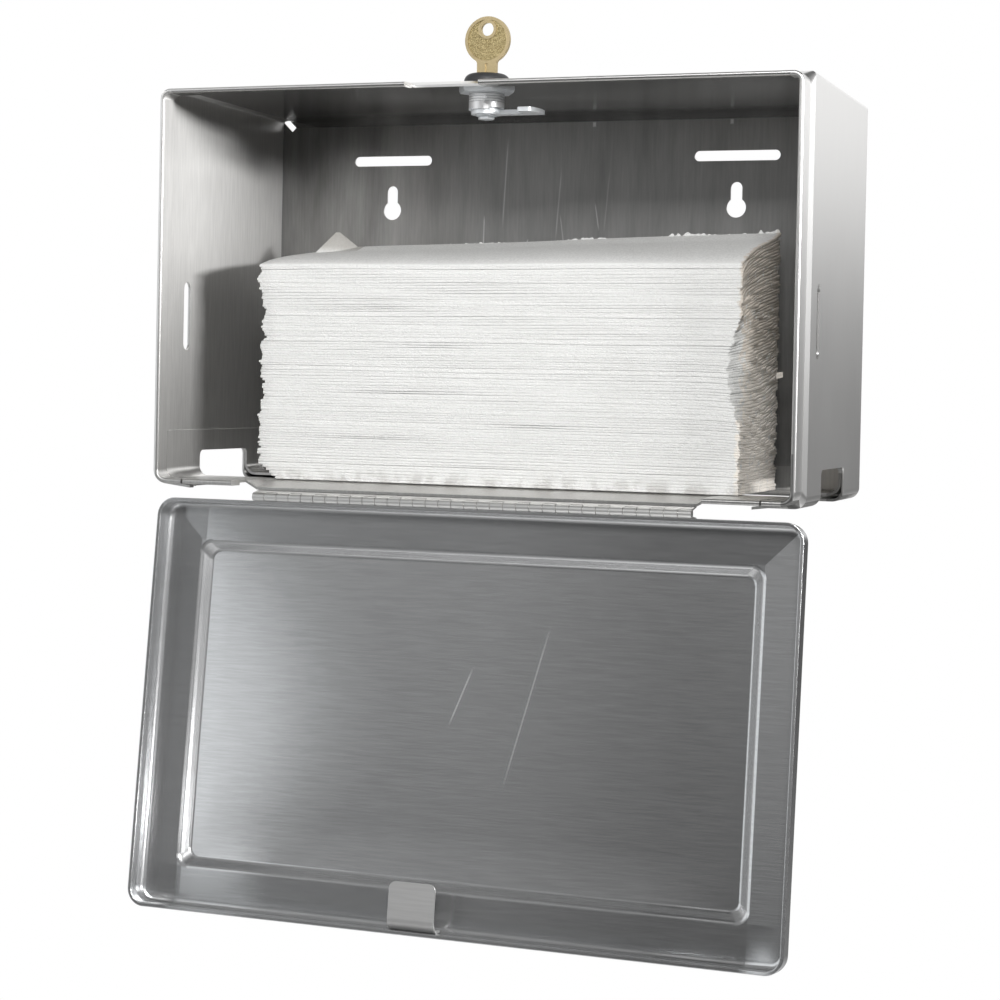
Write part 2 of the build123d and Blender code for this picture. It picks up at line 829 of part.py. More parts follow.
# Washer and screw that hold the cam on the tail
washer_top = cam_bottom - stop_gap
with BuildPart() as cam_washer:
    with BuildSketch(lock_level(washer_top - cam_washer_thickness)):
        Circle(cam_washer_radius)
        Circle(cam_screw_radius + tail_fit_gap, mode=Mode.SUBTRACT)
    extrude(amount=cam_washer_thickness)
cam_washer.part.label = "cam_washer"

screw_seat = washer_top - cam_washer_thickness - stop_gap
with BuildPart() as cam_screw:
    with BuildSketch(lock_level(screw_seat - cam_screw_head)):
        RegularPolygon(cam_screw_across_flats / 2, 6, major_radius=False)
    extrude(amount=cam_screw_head)
    chamfer(cam_screw.faces().sort_by(Axis.Z)[0].edges(), cam_screw_head / 5)
    with BuildSketch(lock_level(screw_seat)):
        Circle(cam_screw_radius)
    extrude(amount=tail_bottom + cam_screw_grip - stop_gap - screw_seat)
cam_screw.part.label = "cam_screw"


# Key: round bow with a sunk bare field, neck with a groove, flat blade with shallow cuts
bow_level = lock_top + key_bow_above_top
shoulder = plug_top + key_shoulder_gap
blade_bottom = keyway_floor + key_bottom_gap
key_face = Plane(origin=(0, lock_y + key_thickness / 2, 0), x_dir=(1, 0, 0), z_dir=(0, -1, 0))
with BuildPart() as key:
    with BuildSketch(key_face) as key_outline:
        with Locations((0, shoulder)):
            Rectangle(key_neck_width, bow_level - shoulder, align=(Align.CENTER, Align.MIN))
        with Locations((0, bow_level)):
            Circle(key_bow_radius)
        neck_joint = key_outline.vertices().filter_by(
            lambda v: shoulder + key_neck_fillet < v.Y < bow_level
        )
        fillet(neck_joint, key_neck_fillet)
        with Locations((0, blade_bottom)):
            Rectangle(key_blade_width, shoulder - blade_bottom, align=(Align.CENTER, Align.MIN))
        tip = key_outline.vertices().group_by(Axis.Y)[0]
        chamfer(tip, key_blade_width / 5)
        with Locations((0, bow_level + key_ring_hole_above_bow)):
            Circle(key_ring_hole_radius, mode=Mode.SUBTRACT)
        cut_pitch = (shoulder - blade_bottom) / (key_cut_count + 2)
        for number in range(key_cut_count):
            with Locations((key_blade_width / 2 + key_cut_radius / 2,
                            blade_bottom + (number + 1.5) * cut_pitch)):
                Circle(key_cut_radius, mode=Mode.SUBTRACT)
    extrude(amount=key_thickness)
    for depth in (0, key_thickness - key_field_depth):
        with BuildSketch(key_face.offset(depth)):
            with Locations((0, bow_level)):
                Circle(key_bow_radius - key_bow_rim)
            with Locations((0, bow_level + key_ring_hole_above_bow)):
                Circle(key_ring_hole_radius + key_bow_rim, mode=Mode.SUBTRACT)
        extrude(amount=key_field_depth, mode=Mode.SUBTRACT)
    for depth in (0, key_thickness - key_groove_depth):
        with BuildSketch(key_face.offset(depth)):
            with Locations((0, blade_bottom)):
                Rectangle(
                    key_groove_width,
                    bow_level - key_bow_radius - blade_bottom,
                    align=(Align.CENTER, Align.MIN),
                )
        extrude(amount=key_groove_depth, mode=Mode.SUBTRACT)
key.part.label = "key"


# Stack of folded towels: level below, higher at the rear where the folds spring up
def stack_face(across, rise):
    """Outline of the stack seen from the side, at a place across the cabinet."""
    front = nose_y + stack_front_from_nose
    base = floor_top + stack_gap
    with BuildSketch(Plane(origin=(across, 0, 0), x_dir=(0, 1, 0), z_dir=(1, 0, 0))) as face:
        with BuildLine():
            Polyline(
                (front, base),
                (front + stack_depth, base),
                (front + stack_depth, base + stack_front_height + rise),
                (front, base + stack_front_height),
                close=True,
            )
        make_face()
        fillet(face.vertices(), stack_fold_radius)
    return face.sketch


with BuildPart() as towel_stack:
    loft(
        [
            stack_face(stack_centre - stack_width / 2, stack_rear_rise_left),
            stack_face(stack_centre + stack_width / 2, stack_rear_rise_right),
        ]
    )
towel_stack.part.label = "towel_stack"


os.makedirs("parts", exist_ok=True)
export_step(cabinet_shell.part, "parts/cabinet_shell.step")
export_step(bottom_pan.part, "parts/bottom_pan.step")
export_step(hinge_cabinet_leaf, "parts/hinge_cabinet_leaf.step")
export_step(hinge_door_leaf, "parts/hinge_door_leaf.step")
export_step(hinge_pin.part, "parts/hinge_pin.step")
export_step(door_panel.part, "parts/door_panel.step")
export_step(door_strike.part, "parts/door_strike.step")
export_step(lock_body.part, "parts/lock_body.step")
export_step(lock_bezel.part, "parts/lock_bezel.step")
export_step(lock_nut.part, "parts/lock_nut.step")
export_step(lock_plug.part, "parts/lock_plug.step")
export_step(lock_wafers.part, "parts/lock_wafers.step")
export_step(lock_stop_washer.part, "parts/lock_stop_washer.step")
export_step(lock_cam.part, "parts/lock_cam.step")
export_step(cam_washer.part, "parts/cam_washer.step")
export_step(cam_screw.part, "parts/cam_screw.step")
export_step(key.part, "parts/key.step")
export_step(towel_stack.part, "parts/towel_stack.step")
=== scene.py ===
# %% [markdown]
# # A towel cabinet with its door hanging open
# The cabinet, the door, the hinge and the lock come as finished solids. This lesson gives them
# their metal, stacks the paper towels fold by fold, and sets the light and the camera.

# %% Loading the solids
import math
import random

import bpy
from mathutils import Matrix, Vector


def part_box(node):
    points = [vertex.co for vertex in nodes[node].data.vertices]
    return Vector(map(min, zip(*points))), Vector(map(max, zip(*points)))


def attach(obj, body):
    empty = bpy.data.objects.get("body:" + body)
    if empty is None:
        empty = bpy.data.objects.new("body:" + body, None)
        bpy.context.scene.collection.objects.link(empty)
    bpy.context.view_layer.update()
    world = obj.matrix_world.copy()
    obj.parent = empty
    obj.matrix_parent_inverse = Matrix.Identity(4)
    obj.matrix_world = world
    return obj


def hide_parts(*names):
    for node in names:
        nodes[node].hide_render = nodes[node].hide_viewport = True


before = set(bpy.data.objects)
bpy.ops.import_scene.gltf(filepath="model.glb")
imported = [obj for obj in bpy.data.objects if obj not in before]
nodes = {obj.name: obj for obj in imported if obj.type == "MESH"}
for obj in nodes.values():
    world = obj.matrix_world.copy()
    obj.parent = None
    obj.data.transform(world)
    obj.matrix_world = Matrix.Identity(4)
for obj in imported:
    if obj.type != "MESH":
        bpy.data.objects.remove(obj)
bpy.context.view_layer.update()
bpy.ops.object.select_all(action="DESELECT")
MM = 0.001
print("solids:", sorted(nodes))

# %% [markdown]
# ## The camera
# The photographer stood a little to the right and just below the middle of the cabinet. Aiming by
# hand would take many tries, so the place and the three axes were solved from points that can be
# found both on the solids and in the picture: slot ends, keyholes, the hinge and the door's panel.

# %% Placing the camera
right = Vector((0.939783, 0.341132, 0.020884))
forward = Vector((-0.340941, 0.940005, -0.012217))
up = Vector((-0.023799, 0.004361, 0.999707))
place = Vector((0.361649, -1.076722, -0.092716))
pixels_focal, pixels_across = 2207.25, 1000
centre_x, centre_y = 502.9, 415.5
sensor_mm = 36.0

bpy.ops.object.camera_add()
camera = bpy.context.object
camera.name = "camera"
turn = Matrix((right, up, -forward)).transposed()
camera.matrix_world = Matrix.Translation(place) @ turn.to_4x4()
camera.data.sensor_width = sensor_mm
camera.data.lens = sensor_mm * pixels_focal / pixels_across
camera.data.shift_x = (pixels_across / 2 - centre_x) / pixels_across
camera.data.shift_y = (centre_y - pixels_across / 2) / pixels_across
camera.data.clip_start = 0.01
bpy.context.scene.camera = camera
bpy.context.scene.view_settings.view_transform = "Standard"
print("lens", round(camera.data.lens, 1), "mm")


# %% [markdown]
# ## Shader maths in plain Python
# A finish such as brushed steel is a long chain of small sums. Wiring each by hand hides the idea,
# so one class wraps a node's output and lets sums be written as sums.

# %% A wrapped socket
class Value:
    """One output of a shader node, with arithmetic."""

    def __init__(self, finish, socket):
        self.finish = finish
        self.socket = socket

    def sum(self, operation, first, second):
        return self.finish.add("ShaderNodeMath", {"operation": operation}, {0: first, 1: second})

    def __add__(self, other):
        return self.sum("ADD", self, other)

    def __radd__(self, other):
        return self.sum("ADD", other, self)

    def __sub__(self, other):
        return self.sum("SUBTRACT", self, other)

    def __rsub__(self, other):
        return self.sum("SUBTRACT", other, self)

    def __mul__(self, other):
        return self.sum("MULTIPLY", self, other)

    def __rmul__(self, other):
        return self.sum("MULTIPLY", other, self)

    def __truediv__(self, other):
        return self.sum("DIVIDE", self, other)

    def __lt__(self, other):
        return self.sum("LESS_THAN", self, other)

    def __gt__(self, other):
        return self.sum("GREATER_THAN", self, other)

    def __abs__(self):
        return self.sum("ABSOLUTE", self, 0.0)

    def wave(self):
        return self.sum("SINE", self, 0.0)

    def most(self, other):
        return self.sum("MAXIMUM", self, other)

    def least(self, other):
        return self.sum("MINIMUM", self, other)


print("Value:", Value.__doc__)


# %% [markdown]
# ## Node trees
# All other nodes come from one method, which takes a node's type, its settings and its inputs. A
# few nodes are needed again and again, so they get short names: noise, a stretched pattern, a soft
# step from one number to another, and a mix of two colours.

# %% A node tree
class Finish:
    """A node tree, and a short way to add nodes to it."""

    def __init__(self, owner):
        owner.use_nodes = True
        self.tree = owner.node_tree

    def plug(self, socket, value):
        if isinstance(value, Value):
            self.tree.links.new(value.socket, socket)
        else:
            socket.default_value = value

    def add(self, kind, settings=None, inputs=None, output=0):
        node = self.tree.nodes.new(kind)
        for key, value in (settings or {}).items():
            setattr(node, key, value)
        for key, value in (inputs or {}).items():
            self.plug(node.inputs[key], value)
        return Value(self, node.outputs[output])

    def axes(self, vector):
        return [self.add("ShaderNodeSeparateXYZ", None, {0: vector}, axis) for axis in range(3)]

    def noise(self, vector, scale=1.0, detail=2.0, rough=0.5):
        inputs = {"Vector": vector, "Scale": scale, "Detail": detail, "Roughness": rough}
        return self.add("ShaderNodeTexNoise", None, inputs)

    def stretch(self, vector, scale):
        return self.add("ShaderNodeMapping", None, {"Vector": vector, "Scale": scale})

    def spread(self, value, low, high, to_low=0.0, to_high=1.0):
        inputs = {0: value, 1: low, 2: high, 3: to_low, 4: to_high}
        return self.add("ShaderNodeMapRange", {"interpolation_type": "SMOOTHSTEP"}, inputs)

    def fade(self, value, low, high):
        """One below the low number, nothing above the high one."""
        return self.spread(value, low, high, 1.0, 0.0)

    def mix(self, factor, first, second):
        colours = [c if isinstance(c, Value) else (*c, 1.0) for c in (first, second)]
        inputs = {0: factor, 6: colours[0], 7: colours[1]}
        return self.add("ShaderNodeMix", {"data_type": "RGBA"}, inputs, 2)


print("Finish:", Finish.__doc__)


# %% A finish for a piece
class Surface(Finish):
    """A finish for a piece, with its main shader ready."""

    def __init__(self, name, **fixed):
        self.material = bpy.data.materials.new(name)
        super().__init__(self.material)
        self.shader = self.tree.nodes["Principled BSDF"]
        for socket, value in fixed.items():
            self.set(socket.replace("_", " "), value)
        self.object = self.add("ShaderNodeTexCoord", None, None, "Object")
        self.x, self.y, self.z = self.axes(self.object)

    def set(self, name, value):
        self.plug(self.shader.inputs[name], value)

    def bump(self, height, strength, distance):
        inputs = {"Height": height, "Strength": strength, "Distance": distance}
        self.set("Normal", self.add("ShaderNodeBump", None, inputs))


def dress(finish, *names):
    for name in names:
        mesh = nodes[name].data
        mesh.materials.clear()
        mesh.materials.append(finish.material)
    print(finish.material.name, "on", ", ".join(names))


print("Surface:", Surface.__doc__)

# %% [markdown]
# ## The studio
# Steel looks like what surrounds it. The picture was taken before bright white paper in a dim
# room, so the world is not one grey. The paper behind is bright above, dark in a band at the
# height of the camera and half as bright on the floor. In front there are only a faint window at
# the left, a pale floor and a pale wall. A ray straight from the camera sees plain white paper.

# %% World
world = bpy.data.worlds.new("studio")
bpy.context.scene.world = world
sky = Finish(world)
across, depth, height = sky.axes(sky.add("ShaderNodeTexCoord", None, None, "Generated"))
dim_room, dim_paper = 0.07, 0.02

behind = sky.spread(depth, 0.05, 0.6)
paper_above = 0.91 * sky.spread(height, 0.015, 0.125)
paper_below = 0.45 * sky.fade(height, -0.5, -0.1)
floor_before = sky.fade(height, -0.6, -0.2) * 0.3
window_before = sky.fade(across, -0.45, -0.18) * sky.spread(height, -0.03, 0.06) * 0.22
wall_left = sky.fade(across, -0.97, -0.78) * 0.3
room = dim_room + behind * (dim_paper + paper_above + paper_below)
room = room + (1 - behind) * (floor_before + window_before + wall_left)

seen = sky.add("ShaderNodeLightPath", None, None, "Is Camera Ray")
backdrop = sky.tree.nodes["Background"]
sky.plug(backdrop.inputs["Color"], (1.0, 1.0, 1.0, 1.0))
sky.plug(backdrop.inputs["Strength"], seen + (1 - seen) * room)
print("the world has", len(sky.tree.nodes), "nodes")

# %% [markdown]
# ## The lamps
# A narrow lamp far to the right shines into the open cabinet and throws the shadow of the roof on
# the left wall. A tall soft box at the front left is what the door mirrors at its left. A lamp
# high in front lights the towels.

# %% Lamps
white, cool = (1.0, 1.0, 1.0), (0.95, 0.98, 1.0)
lamps = (
    # name, place, aim, size across and up, watts, tint
    ("lamp_right", (1.85, -0.72, 0.20), (-0.02, -0.1, 0.02), (0.74, 0.10), 20.0, white),
    ("lamp_left", (-1.40, -1.35, -0.1), (-0.1, -0.12, -0.2), (0.92, 1.6), 4.2, cool),
    ("lamp_front", (0.68, -2.0, 0.85), (0, -0.1, -0.1), (0.6, 0.5), 40.0, white),
)
for name, spot, aim, size, watts, tint in lamps:
    bpy.ops.object.light_add(type="AREA", location=spot)
    lamp = bpy.context.object
    lamp.name = name
    lamp.data.shape = "RECTANGLE"
    lamp.data.size, lamp.data.size_y = size
    lamp.data.energy = watts
    lamp.data.color = tint
    lamp.rotation_euler = (Vector(aim) - Vector(spot)).to_track_quat("-Z", "Y").to_euler()
    print(name, watts, "W")

# %% [markdown]
# ## The floor
# The cabinet hangs on a wall, so nothing stands near it. A pale round of paper lies well below,
# takes the soft shadow and fades out before its rim, so that it never draws an edge.

# %% A pale floor
floor_radius, floor_z = 0.62, -0.62
fade_start, fade_end = 0.25, 0.6
bpy.ops.mesh.primitive_circle_add(
    vertices=64, radius=floor_radius, fill_type="TRIFAN", location=(0, -0.07, floor_z)
)
floor = bpy.context.object
floor.name = "floor"
paper_floor = Surface("floor_paper", Base_Color=(0.9, 0.9, 0.9, 1.0), Roughness=0.9)
away = paper_floor.add(
    "ShaderNodeVectorMath", {"operation": "LENGTH"}, {0: paper_floor.object}, "Value"
)
paper_floor.set("Alpha", paper_floor.fade(away, fade_start, fade_end))
floor.data.materials.append(paper_floor.material)
print("floor at", floor_z, "m")


# %% [markdown]
# ## Brushed stainless steel
# A brushed sheet has two shines at once: a narrow one that mirrors the wall beside it, and a wide
# haze from the strokes that catches a lamp far off to the side. Two metal shaders are mixed for
# that. From a metre away the strokes are hardly seen as grooves, so most of them is a faint change
# of colour along the grain, and only a very small bump is added.

# %% A steel with a core and a haze
def steel(name, strokes, tone, core, haze, grain=0.0, streak=0.06):
    """Brushed steel. strokes is the noise scale on X, Y and Z, grain stretches the shine."""
    metal = Surface(name, Metallic=1.0, Anisotropic=grain)
    fine = metal.noise(metal.stretch(metal.object, strokes), 1.0, 3.0, 0.6)
    cloud = metal.noise(metal.object, 9.0, 3.0, 0.55)
    mottle = metal.spread(fine, 0.3, 0.7) * 0.7 + cloud * 0.3
    darker, lighter = [[c * (1 + part) for c in tone] for part in (-streak, streak)]
    metal.colour = metal.mix(mottle, darker, lighter)
    metal.core = core + (fine - 0.5) * 0.03 + (cloud - 0.5) * 0.05
    metal.fine = fine
    metal.wide = metal.tree.nodes.new("ShaderNodeBsdfPrincipled")
    metal.wide.inputs["Metallic"].default_value = 1.0
    metal.wide.inputs["Anisotropic"].default_value = 1.0 if grain > 0.0 else 0.0
    metal.wide.inputs["Roughness"].default_value = haze
    return metal


def finish_steel(metal, colour, share, form=0.0, groove=0.01 * MM):
    """Joins the narrow and the wide shine. The form is a height that bends the reflection."""
    metal.set("Base Color", colour)
    metal.set("Roughness", metal.core)
    metal.bump(metal.fine * groove + form, 1.0, 1.0)
    metal.plug(metal.wide.inputs["Base Color"], colour)
    narrow = Value(metal, metal.shader.outputs[0])
    wide = Value(metal, metal.wide.outputs[0])
    both = metal.add("ShaderNodeMixShader", None, {0: share, 1: narrow, 2: wide})
    metal.plug(metal.tree.nodes["Material Output"].inputs["Surface"], both)


def scratch(metal, start, end, width):
    """A straight mark between two points given as (x, z) in millimetres."""
    (x0, z0), (x1, z1) = [[v * MM for v in point] for point in (start, end)]
    way = (metal.z - z0) / (z1 - z0)
    aside = abs(metal.x - (way * (x1 - x0) + x0))
    ends = metal.spread(way.least(1 - way), 0.0, 0.25)
    return metal.fade(aside, 0.35 * width * MM, width * MM) * ends


print("steel:", steel.__doc__)

# %% [markdown]
# ## The cabinet
# The sheet is the same all over, but some faces are painted lighter or darker. The outside and the
# lip are painted lighter as painted light, and the inside of the back, its left corner, the roof
# and one end of the pan are painted darker as painted shade. A mask from the place of a point, on
# or off, tells the faces apart without any painting by hand.

# %% Faces of the cabinet
walls = steel("steel_walls", (900.0, 900.0, 45.0), (0.62, 0.613, 0.60), 0.33, 0.48, 0.6, 0.085)
side_skin, roof_skin, back_skin = 157.4 * MM, 48.4 * MM, -0.6 * MM
lip_side, lip_top, lip_rear = 155.2 * MM, 46.2 * MM, -123.0 * MM
flank_start, roof_start = 150.0 * MM, 44.5 * MM
back_front, back_rear = -2.0 * MM, -0.45 * MM
pan_end_top = -118.5 * MM

lip = (abs(walls.x) > lip_side).most(walls.z > lip_top) * (walls.y < lip_rear)
outside = (abs(walls.x) > side_skin).most(walls.z > roof_skin).most(walls.y > back_skin)
outside = outside.most(lip)
inside = 1 - outside
flank = (abs(walls.x) > flank_start) * inside
roof = (walls.z > roof_start) * (1 - flank) * inside
on_back = (walls.y > back_front) * (walls.y < back_rear)
pan_end = (walls.x > flank_start) * (walls.z < pan_end_top) * inside
print("outside of the cabinet starts at", side_skin, "m")

# %% Scratches and weld marks on the back
scratches = (
    # two ends as (x, z), width in millimetres, strength
    ((-28.5, 39.0), (-31.0, -12.0), 0.55, 0.55),
    ((-41.0, -2.0), (-41.2, -21.0), 0.5, 0.7),
    ((1.0, 23.0), (-2.0, -19.0), 0.55, 0.4),
    ((0.4, -2.0), (2.8, -19.0), 0.45, 0.45),
    ((19.0, 4.0), (21.6, -12.0), 0.45, 0.55),
    ((27.0, 22.0), (24.0, -14.0), 0.5, 0.25),
    ((-16.6, -15.0), (-18.4, -21.0), 0.5, 0.6),
)
weld_marks = ((18.0, 43.0), (90.0, 43.0))

marks = 0.0
for start, end, width, strength in scratches:
    marks = scratch(walls, start, end, width) * strength + marks
hairs = walls.noise(walls.stretch(walls.object, (420.0, 420.0, 6.0)), 1.0, 2.0)
marks = marks + walls.spread(hairs, 0.63, 0.75) * 0.05
for x, z in weld_marks:
    spot = abs(walls.x - x * MM).most(abs(walls.z - z * MM) * 0.7)
    marks = marks + walls.fade(spot, 0.5 * MM, 1.1 * MM)
marks = (marks * on_back).least(1.0)
print(len(scratches), "scratches and", len(weld_marks), "weld marks")

# %% Steel for the cabinet
stain = walls.noise(walls.stretch(walls.object, (70.0, 70.0, 14.0)), 1.0, 4.0, 0.6)
# painted shade: the left corner of the back is painted darker
corner = walls.fade(walls.x, -102.0 * MM, -90.0 * MM) * on_back
# painted shade darkens the back, the roof and the right end of the pan; the back also gets a random
# stain
painted_shade_and_stain = on_back * 0.30 + roof * 0.1 + pan_end * 0.5
painted_shade_and_stain = (painted_shade_and_stain + corner * 0.24 + (stain - 0.5) * on_back * 0.5).most(0.0).least(0.9)
# painted light: the outside and the lip are painted lighter than the inside
skin = walls.mix(outside * 0.75 + lip * 0.22, walls.colour, (0.92, 0.915, 0.905))
skin = walls.mix(painted_shade_and_stain, skin, (0.02, 0.02, 0.02))
skin = walls.mix(marks, skin, (0.95, 0.95, 0.94))
walls.core = walls.core - roof * 0.16
haze_share = inside * 0.07 + flank * 0.45
finish_steel(walls, skin, (haze_share + marks * 0.5).least(1.0))
dress(walls, "cabinet_shell", "bottom_pan")

# %% [markdown]
# ## The door
# The door is brushed along its length, and two scratches cross its inner face. The sheet is not
# quite flat: pressing the panel bowed it at the left, left a small cove beside the step and tilted
# the border. That is far too little to see as a shape, yet it moves the reflections by a hand's
# breadth. So it is written as a height for the bump, and the solid stays plain.

# %% Scratches on the door
door_steel = steel(
    "steel_door", (60.0, 1500.0, 1500.0), (0.61, 0.615, 0.62), 0.23, 0.5, streak=0.085
)
door_lean = math.radians(7.2)
sheet_middle = 92.96 * MM
lines = scratch(door_steel, (-7.5, -251.0), (4.0, -220.5), 0.6) * 0.5
lines = lines + scratch(door_steel, (20.0, -281.0), (41.5, -195.0), 0.55) * 0.4
toward_room = door_steel.z * math.sin(door_lean) - door_steel.y * math.cos(door_lean)
lines = lines * (toward_room > sheet_middle)
scratched = door_steel.mix(lines, door_steel.colour, (0.95, 0.95, 0.95))
print("the door leans by", round(math.degrees(door_lean), 1), "degrees")

# %% Bends of the door's sheet
panel_middle_z, panel_half_z = -245.0 * MM, 75.0 * MM
panel_left, bow_left = -135.7 * MM, -137.0 * MM
panel_foot = -319.0 * MM
border_x, border_top, border_foot = 139.4 * MM, -168.5 * MM, -323.5 * MM
border_tilt, bow_depth, cove_depth, low_cove_depth = 0.12, 0.5, 2.5, 3.0

rise_z = (door_steel.z - panel_middle_z) / panel_half_z
bow_edge = -30.0 * MM - rise_z * rise_z * (60.0 * MM)
bow = (bow_edge - door_steel.x.most(bow_left)).most(0.0)
cove = (-123.5 * MM - door_steel.x.most(panel_left)).most(0.0)
cove = cove * cove * door_steel.fade(abs(rise_z), 0.45, 1.0)
low_cove = (-297.0 * MM - door_steel.z.most(panel_foot)).most(0.0)
low_cove = low_cove * low_cove * door_steel.fade(abs(door_steel.x), 90.0 * MM, 138.0 * MM)
past_side = abs(door_steel.x) - border_x
past_foot = (border_foot - door_steel.z).most(0.0)
border = past_side.most(door_steel.z - border_top).most(0.0)
border = border - past_foot * door_steel.fade(past_side, -2.0 * MM, 17.0 * MM)
form = border * border_tilt - bow * bow * bow_depth
form = form - cove * cove_depth + low_cove * low_cove_depth
print("the border tilts by", round(math.degrees(math.atan(border_tilt)), 1), "degrees")

# %% Steel for the door, its strike and the hinge
far_side = door_steel.spread(door_steel.x, 0.0, 110.0 * MM) * 0.15
haze_share = lines * 0.5 + 0.22 - far_side
finish_steel(door_steel, scratched, haze_share, form, 0.03 * MM)
dress(door_steel, "door_panel")

along_x = (40.0, 900.0, 900.0)
strike_steel = steel("steel_strike", along_x, (0.53, 0.527, 0.523), 0.45, 0.6)
finish_steel(strike_steel, strike_steel.colour, 0.7)
dress(strike_steel, "door_strike")

hinge_steel = steel("steel_hinge", along_x, (0.90, 0.895, 0.88), 0.24, 0.45)
finish_steel(hinge_steel, hinge_steel.colour, 0.5)
dress(hinge_steel, "hinge_cabinet_leaf", "hinge_door_leaf", "hinge_pin")

# %% [markdown]
# ## The lock
# The small parts of the lock are plated with zinc, which is whiter and more cloudy than steel, so
# its shader is only partly metal. The barrel has a thread: a sine wave along its axis gives both
# the painted shade in its valleys and the bump. The ring over the barrel is dark and rubbed.

# %% Plated parts of the lock
zinc = Surface("zinc_plate", Metallic=0.6)
patch = zinc.noise(zinc.object, 420.0, 3.0)
zinc.set("Base Color", zinc.mix(patch, (0.80, 0.83, 0.85), (0.93, 0.95, 0.97)))
zinc.set("Roughness", zinc.spread(patch, 0.3, 0.7, 0.40, 0.52))
zinc.bump(patch, 0.2, 0.2 * MM)
dress(zinc, "lock_nut", "lock_cam", "cam_washer", "cam_screw", "lock_stop_washer")

# %% The threaded barrel
thread_pitch, thread_foot = 1.25 * MM, 40.2 * MM
nickel = Surface("nickel_barrel", Metallic=0.6, Roughness=0.36)
thread = (nickel.z * (2 * math.pi / thread_pitch)).wave() * (nickel.z > thread_foot)
plain = nickel.mix(nickel.noise(nickel.object, 300.0), (0.80, 0.805, 0.81), (0.92, 0.92, 0.92))
# painted shade: the valleys of the thread are painted darker
painted_valley_shade = nickel.spread(thread, 0.1, 0.9) * 0.5
nickel.set("Base Color", nickel.mix(painted_valley_shade, plain, (0.25, 0.26, 0.27)))
nickel.bump(thread, 0.5, 0.3 * MM)
dress(nickel, "lock_body")

# %% The dark ring
dark = Surface("dark_plate")
rubbed = dark.noise(dark.object, 650.0, 3.0, 0.6)
dark.set("Base Color", dark.mix(rubbed, (0.022, 0.022, 0.024), (0.05, 0.05, 0.052)))
dark.set("Roughness", dark.spread(rubbed, 0.3, 0.7, 0.48, 0.62))
dark.bump(rubbed, 0.15, 0.2 * MM)
dress(dark, "lock_bezel")


# %% [markdown]
# ## The key
# The key is brass. Fingers keep its rim and the edge of its hole bare, while the field of the bow
# is grainy and holds dirt. Two circles, one for the field and one around the hole, part the two.

# %% Brass
def circle(metal, centre_z, radius):
    """Squared distance from a point on the key's middle line, where 1 is on the circle."""
    x, z = metal.x / (radius * MM), (metal.z - centre_z * MM) / (radius * MM)
    return x * x + z * z


brass = Surface("brass", Metallic=1.0)
worn = brass.noise(brass.object, 2200.0, 3.0, 0.6)
field = brass.fade(circle(brass, 69.5, 9.5), 0.98, 1.02)
field = field * brass.spread(circle(brass, 74.5, 4.6), 0.95, 1.05)
bare = brass.mix(worn, (0.50, 0.40, 0.21), (0.74, 0.62, 0.40))
grimy = brass.mix(brass.spread(worn, 0.35, 0.65), (0.29, 0.225, 0.10), (0.60, 0.50, 0.28))
brass.set("Base Color", brass.mix(field, bare, grimy))
brass.set("Roughness", brass.spread(worn, 0.3, 0.7, 0.46, 0.62))
brass.bump(worn * (field * 0.8 + 0.2), 0.6, 0.3 * MM)
dress(brass, "key", "lock_plug", "lock_wafers")

# %% [markdown]
# ## One folded towel
# A stack of folded towels shows one soft round fold for each towel. One folded towel is modelled
# from a block: its edges are rounded, and it is cut into short lengths so that it can bend. Only
# the long edges are cut, because 84 copies of it have to stay light.

# %% Modelling the towel
stack_low, stack_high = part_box("towel_stack")
stack_width = stack_high.x - stack_low.x
stack_depth = stack_high.y - stack_low.y
layer_count = 84
front_height = 103.0 * MM
layer = front_height / layer_count
cuts_x, cuts_y = 36, 7


def cut_along(obj, axis, cuts):
    """Divides the long edges that run along one axis."""
    bpy.ops.object.mode_set(mode="EDIT")
    bpy.ops.mesh.select_mode(type="EDGE")
    bpy.ops.mesh.select_all(action="DESELECT")
    bpy.ops.object.mode_set(mode="OBJECT")
    for edge in obj.data.edges:
        a, b = (obj.data.vertices[i].co for i in edge.vertices)
        span = b - a
        edge.select = span.length > 5 * MM and abs(span[axis]) > 0.99 * span.length
    bpy.ops.object.mode_set(mode="EDIT")
    bpy.ops.mesh.subdivide(number_cuts=cuts)
    bpy.ops.object.mode_set(mode="OBJECT")


bpy.ops.object.select_all(action="DESELECT")
bpy.ops.mesh.primitive_cube_add(size=1.0, scale=(stack_width - MM, stack_depth - 2 * MM, layer))
towel = bpy.context.object
towel.name = "towel"
bpy.ops.object.transform_apply(location=True, rotation=True, scale=True)
bpy.ops.object.mode_set(mode="EDIT")
bpy.ops.mesh.select_all(action="SELECT")
bpy.ops.mesh.bevel(offset=layer * 0.28, segments=2, affect="EDGES")
bpy.ops.object.mode_set(mode="OBJECT")
cut_along(towel, 0, cuts_x)
cut_along(towel, 1, cuts_y)
print("one towel has", len(towel.data.polygons), "faces")


# %% [markdown]
# ## How the towels lie
# No two towels lie alike: each is a little thicker or thinner, a little out of line, and some gape
# at the front. The whole stack is pressed into the wedge that it has in the cabinet, lower in
# front and higher behind, and its right end sags and is torn back. Every chance comes from a seeded
# source, so that the stack is the same on every run.

# %% A smooth random line
def ripple(seed, count, shortest, longest):
    """A smooth random line, as a few added waves."""
    source = random.Random(seed)
    waves = []
    for _ in range(count):
        length, start = source.uniform(shortest, longest), source.uniform(0, 2 * math.pi)
        waves.append((length, start, source.uniform(0.4, 1.0)))
    total = sum(tall for _, _, tall in waves)
    return lambda t: sum(a * math.sin(2 * math.pi * t / l + p) for l, p, a in waves) / total


heave = ripple(3, 3, 0.12, 0.3)
end_line = ripple(57, 6, 0.005, 0.03)
print("the heave at the middle is", round(heave(0.0), 2))

